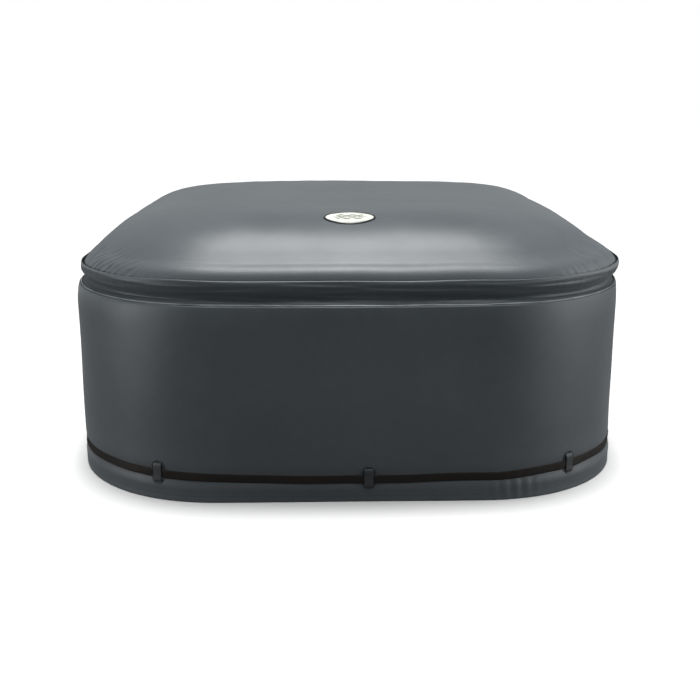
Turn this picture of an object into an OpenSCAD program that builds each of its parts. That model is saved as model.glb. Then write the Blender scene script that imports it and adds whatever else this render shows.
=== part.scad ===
// Full-length cover for a square inflatable spa: puffed lid, piped rim, skirt to the floor and one strap.
// Millimetres, +Z up, origin on the floor under the middle, front towards -Y.

/* [Skirt] */
// Width and depth of the skirt across the middle of its sides
body_w = 1750; // [1700:10:1800]
// Radius of the four bowed sides
side_r = 5850; // [5000:50:7000]
// Radius of the four corners
corner_r = 500; // [450:10:540]
// Height of the piped rim
rim_z = 587; // [580:1:595]
// Thickness of the coated fabric
fabric_t = 3; // [2:0.5:3]
// Thickness of the insulating liner
liner_t = 6; // [4:0.5:6]
// Diameter of the piping
piping_d = 6; // [5:0.5:6]

/* [Lid] */
// Height of the seam between the recessed band and the lid's top panel
seam_z = 647; // [645:1:655]
// How far the seam lies inside the skirt
seam_in = 29; // [27:1:32]
// Height of the crown above the seam
crown_h = 171; // [165:1:175]
// How flat the crown's top is
crown_power = 7; // [6.5:0.5:7.5]

/* [Badge] */
// Width of the badge
badge_w = 155; // [120:5:160]
// Depth of the badge up the lid
badge_h = 97; // [80:1:100]
// Distance of the badge's middle in front of the lid's middle
badge_out = 620; // [600:5:640]

/* [Strap] */
// Width of the webbing
strap_w = 25; // [20:1:25]
// Thickness of the webbing
strap_t = 1.5; // [1:0.1:1.5]
// Height of the webbing's middle above the floor
strap_z = 76; // [70:1:90]
// Distance between neighbouring keepers along the skirt
keeper_step = 619; // [610:1:619]

/* [Hose opening] */
// Half the width of the opening
opening_half = 240; // [200:5:240]
// Height of the opening
opening_h = 430; // [380:5:430]
// Half the width of the flap over it
flap_half = 300; // [300:1:305]
// Height of the flap's top edge
flap_top = 468; // [466:1:472]

/* [Lid zip and valve] */
// Half the length of the zip
zip_half = 500; // [400:10:500]
// Distance of the zip behind the lid's middle
zip_y = 640; // [630:5:645]
// Diameter of the valve's bore
valve_bore = 18; // [14:1:18]
// Distance of the valve from the lid's middle along X and along Y
valve_xy = 570; // [540:5:575]

/* [Hidden] */

$fn = 48;
side_fn = 360;
corner_fn = 144;

// The outline is four bowed sides and four corners, each an arc, tangent where they meet.
half_w = body_w / 2;
side_c = side_r - half_w;
corner_k = (sqrt(2 * pow(side_r - corner_r, 2) - pow(side_c, 2)) - side_c) / 2;
side_a = atan2(corner_k, corner_k + side_c);
corner_a = 90 - 2 * side_a;
side_len = 2 * side_a * PI / 180 * side_r;
corner_len = corner_a * PI / 180 * corner_r;
quarter_len = side_len + corner_len;

// Points on each arc of the faceted lid pieces
side_steps = 4;
corner_steps = 10;
badge_steps = 32;

seam_half = half_w - seam_in;
liner_top = 718.5;
liner_reach = 0.918;
bladder_gap = 6;
bladder_floor = 719;
bladder_reach = 0.885;

strap_off = 2.4;
strap_out = strap_off + strap_t;
buckle_gap = 30;
bar_r = 1.5;
bar_off = strap_out + bar_r;
tape_t = 1.2;
hem_h = 22;
wall_in = fabric_t + liner_t;
opening_a = asin(opening_half / side_r);
flap_a = asin(flap_half / side_r);
flap_off = 5;
flap_foot = 12;
edge_t = 0.8;
edge_w = 12;
prong_root = [6, 9.5];
valve_hinge_y = 17;
valve_hinge_z = 697.5;
valve_foot = 698;
cap_pin_up = valve_hinge_z - valve_foot + 3.3;
zip_z = 716;
zip_pin_z = 706.6;

// ---- Outline and crown -------------------------------------------------------------------------

function arc(c, r, a, sweep, n) = [for (i = [0:n - 1]) c + r * [cos(a + sweep * i / n), sin(a + sweep * i / n)]];
function turned(p, a) = [p.x * cos(a) - p.y * sin(a), p.x * sin(a) + p.y * cos(a)];
function quarter(d) = concat(
    arc([-side_c, 0], side_r + d, -side_a, 2 * side_a, side_steps),
    arc([corner_k, corner_k], corner_r + d, side_a, corner_a, corner_steps));
function outline(d) = [for (q = [0:3], p = quarter(d)) turned(p, 90 * q)];

// The crown is the seam's outline drawn in to a share t, at a height that falls off towards the seam.
function crown_z(t) = seam_z + crown_h * (1 - pow(t, crown_power));
function crown_tilt(t) = atan(crown_h * crown_power * pow(t, crown_power - 1) / seam_half);
function ring(t, z) = [for (p = outline(-seam_in)) [p.x * t, p.y * t, z]];
// The ring that lies a sheet's thickness under the crown
function under(t, d) = ring(t - d * sin(crown_tilt(t)) / seam_half, crown_z(t) - d * cos(crown_tilt(t)));

// Share t of the ring through a place on the front of the crown, and the crown's height there
function front_t(x, y) =
    let (r = side_r - seam_in, k = r * r - side_c * side_c)
    (-side_c * y + sqrt(pow(side_c * y, 2) + k * (x * x + y * y))) / k;
function badge_ring(a, b, lift) = [for (i = [0:badge_steps - 1])
    let (w = 360 * i / badge_steps, x = a * cos(w), y = b * sin(w) - badge_out)
    [x, y, crown_z(front_t(x, y)) + lift]];

// A solid through rings of points, with flat ends, or closed on itself
module loft(rings, closed = false) {
    n = len(rings[0]);
    m = len(rings);
    last = (m - 1) * n;
    walls = [for (j = [0:closed ? m - 1 : m - 2], i = [0:n - 1])
        let (k = (i + 1) % n, up = (j + 1) % m)
        each [[j * n + i, up * n + i, up * n + k], [j * n + i, up * n + k, j * n + k]]];
    ends = closed ? [] : [for (i = [1:n - 2]) each [[0, i, i + 1], [last, last + i + 1, last + i]]];
    polyhedron(points = [for (r = rings) each r], faces = concat(walls, ends), convexity = 4);
}

// ---- Sweeps round the skirt --------------------------------------------------------------------
// A child is a flat profile: x is the distance outside the skirt, y the height.

module side(q, from = -side_a, to = side_a) {
    rotate(90 * q) translate([-side_c, 0, 0]) rotate(from)
        rotate_extrude(angle = to - from, $fn = side_fn) translate([side_r, 0]) children();
}

module corner(q) {
    rotate(90 * q) translate([corner_k, corner_k, 0]) rotate(side_a)
        rotate_extrude(angle = corner_a, $fn = corner_fn) translate([corner_r, 0]) children();
}

module around(sides = [0:3]) {
    for (q = sides) side(q) children();
    for (q = [0:3]) corner(q) children();
}

module band(off, off_2, z, z_2) {
    translate([off, z]) square([off_2 - off, z_2 - z]);
}

// Places a child at a distance s round the skirt from the front's middle: +X outwards, +Y onwards.
function place_q(s) = floor((s + side_len / 2) / quarter_len);
function place_u(s) = s + side_len / 2 - place_q(s) * quarter_len;
function on_side(s) = place_u(s) < side_len;
function place_r(s) = on_side(s) ? side_r : corner_r;
function place_a(s) = on_side(s)
    ? place_u(s) / side_r * 180 / PI - side_a
    : side_a + (place_u(s) - side_len) / corner_r * 180 / PI;

module on_wall(s) {
    rotate(90 * (place_q(s) - 1)) translate(on_side(s) ? [-side_c, 0, 0] : [corner_k, corner_k, 0])
        rotate(place_a(s)) translate([place_r(s), 0, 0]) children();
}

// A profile swept a short way along the wall at s, half_l to each side
module hug(s, half_l) {
    a = asin(half_l / place_r(s));
    translate([-place_r(s), 0, 0]) rotate(-a)
        rotate_extrude(angle = 2 * a, $fn = on_side(s) ? 8 * side_fn : 8 * corner_fn)
            translate([place_r(s), 0]) children();
}

// ---- Lid ---------------------------------------------------------------------------------------

crown_steps = [0.4, 0.55, 0.66, 0.75, 0.82, 0.88, 0.93, 0.97];

module top_panel() {
    wide = fabric_t / sin(crown_tilt(1)) / seam_half;
    inner = [for (t = crown_steps) under(t, fabric_t)];
    outer = [for (i = [len(crown_steps) - 1:-1:0]) ring(crown_steps[i], crown_z(crown_steps[i]))];
    color("#8b9297") loft(concat(inner, [ring(1 - wide, seam_z), ring(1, seam_z)], outer));
}

module top_band() {
    outer = [[-29, 647], [-24.5, 637], [-23.5, 629], [-28, 619], [-34, 611.5], [-33, 606], [-20, 598.5], [-6.2, 591.8]];
    inner = [[-6.2, 588.8], [-20, 595.2], [-36, 603.8], [-37.2, 612], [-31, 620.4], [-26.6, 629.2], [-27.6, 636.6], [-32, 647]];
    shift = [seam_in - 29, 0];
    color("#474e52") around() translate(-shift) polygon(concat(outer, inner));
}

module rim_piping() {
    color("#aab1b3") around() translate([-piping_d / 2, rim_z]) circle(d = piping_d, $fn = 24);
}

module badge_plate() {
    shares = [0.04, 0.35, 0.7, 1];
    a = badge_w / 2 - 7;
    b = badge_h / 2 - 7;
    low = [for (t = shares) badge_ring(a * t, b * t, 0.3)];
    high = [for (i = [len(shares) - 1:-1:0]) badge_ring(a * shares[i], b * shares[i], 2.5)];
    color("#d5d8cc") loft(concat(low, high));
}

module badge_rim() {
    a = badge_w / 2;
    b = badge_h / 2;
    color("#2c3033") loft([
        badge_ring(a - 6.7, b - 6.7, 0.3), badge_ring(a, b, 0.3), badge_ring(a, b, 2),
        badge_ring(a - 2, b - 2, 3.6), badge_ring(a - 5, b - 5, 3.6), badge_ring(a - 6.7, b - 6.7, 2.5)
    ], closed = true);
}

module air_bladder() {
    shares = [for (t = crown_steps) t * bladder_reach / crown_steps[len(crown_steps) - 1]];
    top = [for (i = [len(shares) - 1:-1:0]) under(shares[i], fabric_t + bladder_gap)];
    color("#c9d2d6") difference() {
        loft(concat([ring(bladder_reach * 0.97, bladder_floor)], top));
        translate([valve_xy, valve_xy, bladder_floor - 1]) cylinder(r = valve_bore / 2 + 3, h = 15);
    }
}

module lid_liner() {
    color("#b9bec0") difference() {
        translate([0, 0, zip_z]) linear_extrude(liner_top - zip_z)
            polygon([for (p = outline(-seam_in)) p * liner_reach]);
        translate([-zip_half, zip_y - 4, zip_z - 1]) cube([2 * zip_half, 8, 5]);
        translate([valve_xy, valve_xy, zip_z - 1]) cylinder(r = valve_bore / 2 + 5, h = 5);
    }
}

module zip_tapes() {
    color("#23272a") for (y = [-16, 3.4]) translate([-zip_half - 10, zip_y + y, zip_z - tape_t])
        cube([2 * zip_half + 20, 12.6, tape_t]);
}

module zip_coil() {
    color("#2f3437") translate([-zip_half, zip_y - 2.6, zip_z - 1.8]) cube([2 * zip_half, 5.2, 2]);
}

module zip_slider() {
    color("#9a9d9f") translate([-zip_half + 12, zip_y, 0]) {
        translate([-8, -5.5, zip_z - 4.6]) cube([16, 11, 2.4]);
        translate([-7, -3.4, zip_z + 0.5]) cube([14, 6.8, 1.6]);
        for (y = [-3.6, 2]) {
            translate([-3, y, zip_pin_z - 0.2]) cube([6, 1.6, zip_z - 4.6 - zip_pin_z + 0.3]);
            translate([0, y + 1.6, zip_pin_z]) rotate([90, 0, 0]) cylinder(r = 3, h = 1.6);
        }
        translate([0, 3, zip_pin_z]) rotate([90, 0, 0]) cylinder(r = 1, h = 6);
    }
}

module zip_pull() {
    color("#9a9d9f") translate([-zip_half + 12, zip_y, zip_pin_z]) difference() {
        union() {
            translate([0, 1.2, 0]) rotate([90, 0, 0]) cylinder(r = 2.6, h = 2.4);
            translate([-2.6, -1.2, -14]) cube([5.2, 2.4, 14]);
            translate([-4, -1.2, -32]) cube([8, 2.4, 19]);
        }
        translate([0, 2, 0]) rotate([90, 0, 0]) cylinder(r = 1.1, h = 4);
        translate([0, 2, -27]) rotate([90, 0, 0]) cylinder(r = 2, h = 4);
    }
}

module valve_body() {
    bore_r = valve_bore / 2;
    color("#e4e4df") translate([valve_xy, valve_xy, 0]) difference() {
        union() {
            translate([0, 0, zip_z - 3.5]) cylinder(r = 30, h = 3.5);
            translate([0, 0, valve_foot]) cylinder(r = bore_r + 4, h = bladder_floor - 0.3 - valve_foot);
            for (x = [-7, 4.3]) translate([x, bore_r + 2, valve_foot]) cube([2.7, valve_hinge_y - bore_r, 4]);
            for (x = [-7, 4.3]) translate([x, valve_hinge_y - 2.5, valve_hinge_z - 2.2]) cube([2.7, 5, 6.5]);
            translate([-6, valve_hinge_y, valve_hinge_z]) rotate([0, 90, 0]) cylinder(r = 1.2, h = 12);
        }
        translate([0, 0, valve_foot - 1]) cylinder(r = bore_r, h = 30);
    }
}

// The cap's lip goes round the half away from its hinge, so that the cap can swing open
module valve_cap() {
    lip_r = valve_bore / 2 + 4.3;
    color("#e4e4df") translate([valve_xy, valve_xy, valve_foot - 3.3]) difference() {
        union() {
            cylinder(r = valve_bore / 2 + 5, h = 3);
            difference() {
                cylinder(r = lip_r + 2, h = 7);
                translate([0, 0, 3]) cylinder(r = lip_r, h = 5);
                translate([-20, 0, -1]) cube([40, 20, 10]);
            }
            translate([-4, 12, 0]) cube([8, valve_hinge_y - 12, 2.2]);
            translate([-4, valve_hinge_y, cap_pin_up]) rotate([0, 90, 0]) cylinder(r = 2.6, h = 8);
        }
        translate([-5, valve_hinge_y, cap_pin_up]) rotate([0, 90, 0]) cylinder(r = 1.3, h = 10);
    }
}

// ---- Skirt -------------------------------------------------------------------------------------

skirt_foot = 1.5;
skirt_top = rim_z - piping_d / 2 - 0.1;
lining_top = rim_z - 12;

module skirt_wrap() {
    color("#363c40") around([0, 2, 3]) band(-fabric_t, 0, skirt_foot, skirt_top);
}

// The hose opening, cut through everything between two distances outside the skirt
module opening_block(off, off_2, inset = 0) {
    a = asin((opening_half - inset) / side_r);
    side(1, -a, a) band(off, off_2, -1, opening_h - inset);
}

module skirt_back() {
    color("#363c40") difference() {
        side(1) band(-fabric_t, 0, skirt_foot, skirt_top);
        opening_block(-fabric_t - 1, 1);
    }
}

module liner_wrap() {
    color("#b4b9bc") around([0, 2, 3]) band(-wall_in, -fabric_t, skirt_foot, lining_top);
}

module liner_back() {
    color("#b4b9bc") difference() {
        side(1) band(-wall_in, -fabric_t, skirt_foot, lining_top);
        opening_block(-wall_in - 1, 1);
    }
}

module seam_tape(end) {
    w = 34 / side_r * 180 / PI;
    from = end > 0 ? side_a - w : -side_a;
    color("#2e3437") side(1, from, from + w) band(0, edge_t, hem_h + 1, skirt_top);
}

module seam_tape_left() { seam_tape(1); }

module seam_tape_right() { seam_tape(-1); }

module hem_profile() {
    polygon([
        [tape_t, 0], [tape_t, hem_h], [0, hem_h], [0, skirt_foot],
        [-wall_in, skirt_foot], [-wall_in, hem_h], [-wall_in - tape_t, hem_h], [-wall_in - tape_t, 0]
    ]);
}

module hem_binding() {
    color("#30363a") {
        around([0, 2, 3]) hem_profile();
        side(1, -side_a, -opening_a) hem_profile();
        side(1, opening_a, side_a) hem_profile();
    }
}

module opening_binding() {
    reach = opening_a + 15 / side_r * 180 / PI;
    color("#23282b") difference() {
        side(1, -reach, reach) band(-wall_in - tape_t, tape_t, hem_h + 0.3, opening_h + 15);
        opening_block(-wall_in - 2, 3, 2);
        difference() {
            side(1) band(-wall_in, 0, 0, rim_z);
            opening_block(-wall_in - 1, 1);
        }
    }
}

module hose_flap() {
    color("#363c40") side(1, -flap_a, flap_a) band(flap_off, flap_off + fabric_t, flap_foot, flap_top);
}

module flap_binding() {
    out = flap_a + edge_t / side_r * 180 / PI;
    in = flap_a - edge_w / side_r * 180 / PI;
    color("#23282b") difference() {
        side(1, -out, out) band(flap_off - edge_t, flap_off + fabric_t + edge_t, flap_foot - edge_t, flap_top);
        side(1, -in, in) band(0, 20, flap_foot + edge_w, rim_z);
        side(1, -flap_a, flap_a) band(flap_off, flap_off + fabric_t, flap_foot, rim_z);
    }
}

module flap_tab() {
    w = 15 / side_r * 180 / PI;
    face = flap_off + fabric_t;
    color("#1b1d1f") side(1, -w, w) difference() {
        band(face, face + 3, 26, 70);
        band(face + 1, face + 2, 30, 66);
    }
}

module flap_hinge_tape() {
    color("#23282b") side(1, -flap_a, flap_a) {
        band(0, 2, flap_top + 3, flap_top + 34);
        band(1, flap_off + fabric_t + edge_t, flap_top + 3, flap_top + 4.5);
    }
}

// Two upright strips, one near each edge of the flap
module closure_strips(off, off_2) {
    w = 24 / side_r * 180 / PI;
    a = (opening_half + 22) / side_r * 180 / PI;
    for (from = [a, -a - w]) side(1, from, from + w) band(off, off_2, 104, 424);
}

module hook_strips() {
    color("#15171a") closure_strips(0, 2.2);
}

module loop_strips() {
    color("#202326") closure_strips(2.5, flap_off);
}

// ---- Strap and keepers -------------------------------------------------------------------------

module strap() {
    gap_a = asin(buckle_gap / side_r);
    color("#2a2420") translate([0, 0, strap_z - strap_w / 2]) {
        around([1, 2, 3]) band(strap_off, strap_out, 0, strap_w);
        side(0, -side_a, -gap_a) band(strap_off, strap_out, 0, strap_w);
        side(0, gap_a, side_a) band(strap_off, strap_out, 0, strap_w);
    }
}

// Local axes at the buckle: x along the strap, y out of the skirt, z up
module at_buckle() {
    translate([half_w, 0, strap_z]) mirror([1, -1, 0]) children();
}

// The webbing's turn round a bar at x = 0, and the layer that slopes back down onto the strap
module webbing_turn(foot) {
    top = bar_off + bar_r;
    linear_extrude(strap_w) {
        difference() {
            circle(r = bar_r + strap_t);
            circle(r = bar_r);
            translate([-10, -10]) square([10, 20]);
        }
        polygon([[0, bar_r], [0, bar_r + strap_t], [-28, foot + strap_t], [-28, foot]]);
    }
}

module strap_end_loop() {
    color("#2a2420") at_buckle() translate([-buckle_gap, bar_off, -strap_w / 2]) webbing_turn(-bar_r);
}

module strap_tail() {
    from = 58 / side_r * 180 / PI;
    tail_off = strap_out + 0.3;
    color("#2a2420") {
        at_buckle() mirror([1, 0, 0]) translate([-buckle_gap, bar_off, -strap_w / 2]) webbing_turn(0.3 - bar_r);
        side(0, from, from + 1.75) band(tail_off, tail_off + strap_t, strap_z - strap_w / 2, strap_z + strap_w / 2);
    }
}

module tail_loop() {
    from = 145 / side_r * 180 / PI;
    color("#1b1d1f") side(0, from, from + 0.2) translate([0, strap_z]) difference() {
        band(1, 7.2, -strap_w / 2 - 1.8, strap_w / 2 + 1.8);
        band(2.2, 6, -strap_w / 2 - 0.6, strap_w / 2 + 0.6);
    }
}

module keeper(i) {
    s = 49 + keeper_step * (i - 5);
    patch_w = 44;
    patch_h = 72;
    color("#2b3033") on_wall(s) translate([0, 0, strap_z]) union() {
        intersection() {
            hug(s, patch_w / 2 + 2) band(0, 2, -32, 44);
            translate([-10, 0, 6]) rotate([90, 0, 90]) linear_extrude(20) {
                square([patch_w, patch_h - patch_w], center = true);
                for (y = [-1, 1]) translate([0, y * (patch_h - patch_w) / 2]) circle(d = patch_w);
            }
        }
        hug(s, 13) polygon([
            [1, -24], [2, -24], [5, -20.5], [6.2, -14], [6.2, 22], [5, 28.5], [2, 32], [1, 32],
            [1, 28], [2, 28], [3.6, 26], [4.4, 21], [4.4, -13], [3.6, -18], [2, -20], [1, -20]
        ]);
    }
}

module keeper_1() { keeper(1); }
module keeper_2() { keeper(2); }
module keeper_3() { keeper(3); }
module keeper_4() { keeper(4); }
module keeper_5() { keeper(5); }
module keeper_6() { keeper(6); }
module keeper_7() { keeper(7); }
module keeper_8() { keeper(8); }
module keeper_9() { keeper(9); }

// ---- Buckle ------------------------------------------------------------------------------------
// Local axes: x along the strap, y up, z out of the skirt

module in_buckle() {
    translate([half_w, 0, strap_z]) rotate([90, 0, 90]) children();
}

module rounded(x, x_2, half_h, r) {
    translate([x + r, -half_h]) square([x_2 - x - 2 * r, 2 * half_h]);
    translate([x, r - half_h]) square([x_2 - x, 2 * (half_h - r)]);
    for (cx = [x + r, x_2 - r], cy = [r - half_h, half_h - r]) translate([cx, cy]) circle(r = r);
}

module slab(x, x_2, y, y_2, z, z_2) {
    translate([x, y, z]) cube([x_2 - x, y_2 - y, z_2 - z]);
}

module buckle_bar(x) {
    translate([x, 17, bar_off]) rotate([90, 0, 0]) cylinder(r = bar_r, h = 34);
}

module buckle_socket() {
    color("#141517") in_buckle() {
        difference() {
            translate([0, 0, 0.6]) linear_extrude(11.8) rounded(-34, 4, 18, 3);
            slab(-40, -22, -13.3, 13.3, -1, 14);
            slab(-19, 5, -14, 14, 3, 10);
            slab(-17.5, -5.3, -19, 19, 3, 10);
        }
        buckle_bar(-buckle_gap);
    }
}

module buckle_plug() {
    color("#141517") in_buckle() {
        difference() {
            union() {
                translate([0, 0, 3.2]) linear_extrude(6.6) rounded(4.5, 34, 17, 3);
                slab(-12, 6, -3, 3, 4, 9);
            }
            slab(12, 40, -13.3, 13.3, 0, 14);
            for (y = [-1, 1]) translate([prong_root.x, y * prong_root.y, 0]) {
                cylinder(r = 2.35, h = 14);
                slab(-3, 0, -1.9, 1.9, 0, 14);
            }
        }
        buckle_bar(buckle_gap);
        buckle_bar(19);
    }
}

module prong() {
    translate([0, 0, 4]) linear_extrude(5) {
        translate(prong_root) circle(r = 2);
        polygon([[6, 8], [-18.5, 8], [-18.5, 11.5], [-13, 17.2], [-7, 17.2], [-5.8, 15.4], [-5.8, 11], [6, 11]]);
    }
}

module prong_upper() {
    color("#1d1f22") in_buckle() prong();
}

module prong_lower() {
    color("#1d1f22") in_buckle() mirror([0, 1, 0]) prong();
}

// ---- Nodes -------------------------------------------------------------------------------------

top_panel();
top_band();
rim_piping();
badge_plate();
badge_rim();
skirt_wrap();
skirt_back();
liner_wrap();
liner_back();
seam_tape_left();
seam_tape_right();
hem_binding();
opening_binding();
hose_flap();
flap_binding();
flap_tab();
flap_hinge_tape();
hook_strips();
loop_strips();
strap();
strap_end_loop();
strap_tail();
tail_loop();
keeper_1();
keeper_2();
keeper_3();
keeper_4();
keeper_5();
keeper_6();
keeper_7();
keeper_8();
keeper_9();
buckle_socket();
buckle_plug();
prong_upper();
prong_lower();
air_bladder();
lid_liner();
zip_tapes();
zip_coil();
zip_slider();
zip_pull();
valve_body();
valve_cap();
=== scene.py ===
"""Looks of a full-length cover for a square inflatable spa, laid out as an add-on and run as a script."""

import math

import bpy
import numpy as np
from bpy.props import FloatProperty, FloatVectorProperty, IntProperty, PointerProperty
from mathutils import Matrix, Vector


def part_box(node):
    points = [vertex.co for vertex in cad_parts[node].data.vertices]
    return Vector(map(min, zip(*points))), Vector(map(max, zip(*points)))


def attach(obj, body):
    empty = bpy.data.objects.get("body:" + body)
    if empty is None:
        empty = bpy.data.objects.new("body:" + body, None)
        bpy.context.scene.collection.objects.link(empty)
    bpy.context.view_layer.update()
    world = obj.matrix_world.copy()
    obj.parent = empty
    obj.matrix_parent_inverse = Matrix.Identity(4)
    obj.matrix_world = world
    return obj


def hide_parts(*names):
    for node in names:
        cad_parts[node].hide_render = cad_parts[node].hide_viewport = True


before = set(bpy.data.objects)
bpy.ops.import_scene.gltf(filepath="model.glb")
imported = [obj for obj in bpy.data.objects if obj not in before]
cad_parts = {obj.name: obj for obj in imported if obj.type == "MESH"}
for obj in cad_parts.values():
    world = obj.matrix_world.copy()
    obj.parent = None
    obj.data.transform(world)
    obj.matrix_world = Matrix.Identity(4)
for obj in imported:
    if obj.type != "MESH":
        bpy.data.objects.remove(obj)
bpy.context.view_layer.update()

bl_info = {
    "name": "Spa cover",
    "version": (1, 0, 0),
    "blender": (4, 5, 0),
    "location": "View3D > Sidebar > Spa cover",
    "description": "Builds a full-length fabric cover for a square inflatable spa round its packed frame",
    "category": "Object",
}

BODY = "cover"
FLAP_BODY = "hose_flap"

# Places taken from the frame, in metres
SKIRT_LOW, SKIRT_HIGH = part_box("skirt_wrap")
PIPING_LOW, PIPING_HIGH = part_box("rim_piping")
BAND_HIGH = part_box("top_band")[1]
PANEL_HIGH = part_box("top_panel")[1]
STRAP_LOW, STRAP_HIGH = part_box("strap")
BADGE_LOW, BADGE_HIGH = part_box("badge_rim")
FLAP_LOW, FLAP_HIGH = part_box("hose_flap")
OPENING_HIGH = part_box("opening_binding")[1]
BLADDER_LOW, BLADDER_TOP = (corner[2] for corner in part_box("air_bladder"))
LINER_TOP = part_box("liner_wrap")[1][2]
VALVE = [(low + high) / 2 for low, high in zip(*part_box("valve_body"))]
OPENING_TOP = OPENING_HIGH[2] - 0.015
OPENING_HALF_S = OPENING_HIGH[0] - 0.015
FLAP_HALF_S = FLAP_HIGH[0] + 0.0004

HALF_W = SKIRT_HIGH[0]
RIM_Z = (PIPING_LOW[2] + PIPING_HIGH[2]) / 2
SEAM_Z = BAND_HIGH[2]
SEAM_IN = HALF_W - PANEL_HIGH[0]
CROWN_H = PANEL_HIGH[2] - SEAM_Z
BADGE_Y = (BADGE_LOW[1] + BADGE_HIGH[1]) / 2
STRAP_Z = (STRAP_LOW[2] + STRAP_HIGH[2]) / 2
STRAP_W = STRAP_HIGH[2] - STRAP_LOW[2]

# Details of the sewing and the fittings, in metres unless a comment says otherwise
TUCK_PITCH = 0.034  # from one small tuck to the next
ROLL_START = 0.955  # share of the way to the seam where the lid's edge starts to roll
HEM_DEPTH = 0.0098  # from the hem's outer face to its inner leg
STITCH_PITCH = 0.0075
STITCH_Z = 0.0195
LINER_DEPTH = 0.0078
QUILT_PITCH = 0.12
KEEPER_W, KEEPER_H = 0.044, 0.072
KEEPER_UP = 0.006  # patch's middle above the strap's
KEEPER_STEPS = 56
BADGE_STEPS = 96
BADGE_FRAME_W = 0.0068
FLAP_FACE = 0.0072  # flap's outer face outside the skirt
BLADDER_REACH = 0.850  # share of the way to the seam


# ---- Sizes and colours a user would change -------------------------------------------------------

class SPACOVER_PG_shape(bpy.types.PropertyGroup):
    """Shape of the fabric between the frame's fixed points"""

    side_radius: FloatProperty(
        name="Side radius", description="Radius of the four bowed sides", default=5.85, unit="LENGTH")
    corner_radius: FloatProperty(
        name="Corner radius", description="Radius of the four corners", default=0.5, unit="LENGTH")
    crown_power: FloatProperty(
        name="Crown flatness", description="How flat the middle of the lid is", default=7.0, min=2.0)
    fabric: FloatProperty(
        name="Fabric thickness", description="Thickness of the coated fabric", default=0.0016, unit="LENGTH")
    hem_swing: FloatProperty(
        name="Hem swing", description="How far the hem tucks in at the sides and flares at the corners",
        default=0.0125, unit="LENGTH")
    wall_bulge: FloatProperty(
        name="Wall bulge", description="How far the skirt stands out at its lower middle",
        default=0.004, unit="LENGTH")
    strap_pull: FloatProperty(
        name="Strap pull", description="How far the strap draws the skirt in", default=0.003, unit="LENGTH")
    strap_sag: FloatProperty(
        name="Strap sag", description="How far the strap hangs down in the middle of a side",
        default=0.0045, unit="LENGTH")
    pucker: FloatProperty(
        name="Pucker depth", description="Depth of the gathers at the lid's corners",
        default=0.0035, unit="LENGTH")
    round_steps: IntProperty(
        name="Steps round", description="Points along a quarter of the skirt", default=300, min=60)


class SPACOVER_PG_colours(bpy.types.PropertyGroup):
    """Colours of the cover's materials"""

    fabric: FloatVectorProperty(
        name="Fabric", description="Coated fabric", subtype="COLOR", default=(0.060, 0.071, 0.078))
    piping: FloatVectorProperty(
        name="Piping", description="Piping round the rim", subtype="COLOR", default=(0.19, 0.21, 0.22))
    webbing: FloatVectorProperty(
        name="Webbing", description="Strap webbing", subtype="COLOR", default=(0.0095, 0.0068, 0.0050))
    tape: FloatVectorProperty(
        name="Tape", description="Binding tapes", subtype="COLOR", default=(0.018, 0.021, 0.024))
    keeper: FloatVectorProperty(
        name="Keepers", description="Moulded strap keepers", subtype="COLOR", default=(0.026, 0.029, 0.032))
    badge_face: FloatVectorProperty(
        name="Badge face", description="Pale face of the badge", subtype="COLOR", default=(0.66, 0.68, 0.60))
    badge_rim: FloatVectorProperty(
        name="Badge rim", description="Dark rim of the badge", subtype="COLOR", default=(0.016, 0.017, 0.018))
    foil: FloatVectorProperty(
        name="Foil", description="Foil face of the liner", subtype="COLOR", default=(0.62, 0.64, 0.66))
    film: FloatVectorProperty(
        name="Film", description="Film of the air bladder", subtype="COLOR", default=(0.50, 0.56, 0.60))
    plastic: FloatVectorProperty(
        name="Buckle", description="Moulded buckle", subtype="COLOR", default=(0.012, 0.012, 0.013))
    valve: FloatVectorProperty(
        name="Valve", description="Soft vinyl of the valve", subtype="COLOR", default=(0.72, 0.72, 0.69))


class SPACOVER_PG_studio(bpy.types.PropertyGroup):
    """Camera and lights"""

    lens: FloatProperty(name="Lens", description="Focal length in millimetres", default=51.43)
    distance: FloatProperty(name="Distance", description="Camera to the cover's middle", default=3.5804,
                            unit="LENGTH")
    aside: FloatProperty(name="Aside", description="Camera to the right of the middle", default=0.0166,
                         unit="LENGTH")
    height: FloatProperty(name="Height", description="Camera above the floor", default=1.1398, unit="LENGTH")
    pitch: FloatProperty(name="Pitch", description="Camera tilt below the horizon", default=0.2464,
                         subtype="ANGLE")
    turn: FloatProperty(name="Turn", description="Camera turn round the cover", default=-0.025,
                        subtype="ANGLE")
    sky: FloatProperty(name="Ceiling", description="Strength of the light from overhead", default=3.7)
    key: FloatProperty(name="Key", description="Strength of the light from above the front", default=1.5)
    back: FloatProperty(name="Back", description="Power of the panel behind, in watts", default=11.0)
    left: FloatProperty(name="Left", description="Power of the left panel in watts", default=3.0)
    right: FloatProperty(name="Right", description="Power of the right panel in watts", default=26.0)
    left_low: FloatProperty(name="Left low", description="Power of the low left panel in watts", default=23.0)
    right_low: FloatProperty(name="Right low", description="Power of the low right panel in watts",
                             default=22.0)
    fill: FloatProperty(name="Fill", description="Strength of the room's light", default=0.20)


def shape():
    """The sizes that a user may change."""
    return bpy.context.scene.spa_cover_shape


def colours():
    """The colours that a user may change."""
    return bpy.context.scene.spa_cover_colours


# ---- Smooth helpers ------------------------------------------------------------------------------

def step(x):
    """Smooth rise from 0 to 1 as x goes from 0 to 1."""
    x = np.clip(x, 0.0, 1.0)
    return x * x * (3.0 - 2.0 * x)


def bump(x, middle, width):
    """Smooth hill of height 1 round middle."""
    return np.exp(-((x - middle) / width) ** 2)


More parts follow.
